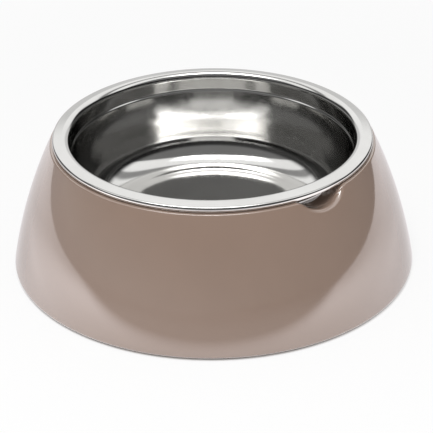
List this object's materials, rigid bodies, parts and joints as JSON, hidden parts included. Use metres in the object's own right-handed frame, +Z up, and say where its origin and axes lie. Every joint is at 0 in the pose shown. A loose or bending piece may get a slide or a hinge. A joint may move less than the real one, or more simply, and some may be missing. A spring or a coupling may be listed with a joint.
{
  "type": "pet food bowl",
  "caption": "Round pet food bowl: a polished steel bowl with a wide rolled flange lifts out of a hollow tapered plastic base with a finger recess and rubber feet.",
  "frame": {"origin": "on the floor, below the middle of the bowl", "axes": "+Z up along the bowl's axis; the finger recess in the base faces -Y"},
  "size_m": [0.2544, 0.2544, 0.0874],
  "materials": {
    "base_plastic": "glossy taupe moulding",
    "bowl_steel": "polished stainless steel",
    "foot_rubber": "matte dark rubber"
  },
  "bodies": {
    "base": {"base_shell": "base_plastic", "foot_1": "foot_rubber", "foot_2": "foot_rubber", "foot_3": "foot_rubber", "foot_4": "foot_rubber", "foot_5": "foot_rubber", "foot_6": "foot_rubber"},
    "bowl": {"steel_bowl": "bowl_steel"}
  },
  "joints": [
    {"name": "bowl_lift", "type": "slide", "parent": "base", "child": "bowl", "axis": [0, 0, 1], "range_m": [0, 0.09]}
  ]
}
